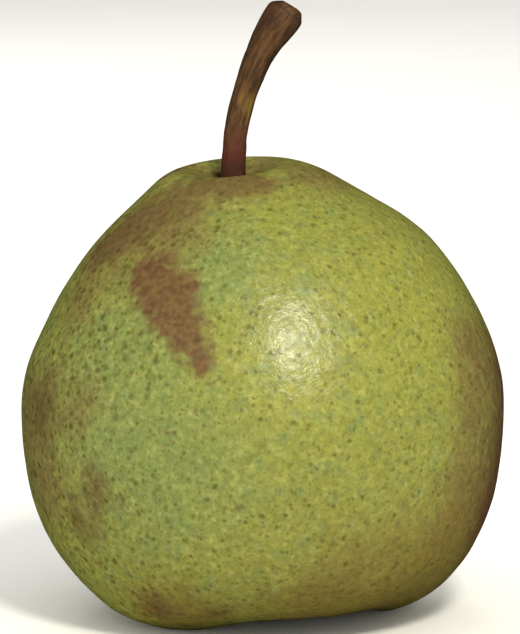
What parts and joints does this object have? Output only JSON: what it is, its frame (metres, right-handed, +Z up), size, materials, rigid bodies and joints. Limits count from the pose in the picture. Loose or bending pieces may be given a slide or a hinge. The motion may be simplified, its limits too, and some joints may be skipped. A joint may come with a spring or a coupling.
{
  "type": "pear",
  "caption": "A round green pear with a thick, curved brown stalk, standing on the low lobes round its dry eye.",
  "frame": {"origin": "on the surface the pear stands on, under the middle of its outline", "axes": "+Z up towards the end of the stalk, +X to the side the stalk bends to, +Y to the back"},
  "size_m": [0.076, 0.076, 0.0967],
  "materials": {
    "skin": "waxy satin fruit skin, olive green with brown dots and russet",
    "bark": "smooth brown bark, matte",
    "dry_leaf": "dry, dark brown, matte"
  },
  "bodies": {
    "root": {"fruit_body": "skin", "stalk": "bark", "sepal_1": "dry_leaf", "sepal_2": "dry_leaf", "sepal_3": "dry_leaf", "sepal_4": "dry_leaf", "sepal_5": "dry_leaf", "stamen_ring": "dry_leaf", "style_cluster": "dry_leaf"}
  },
  "joints": []
}
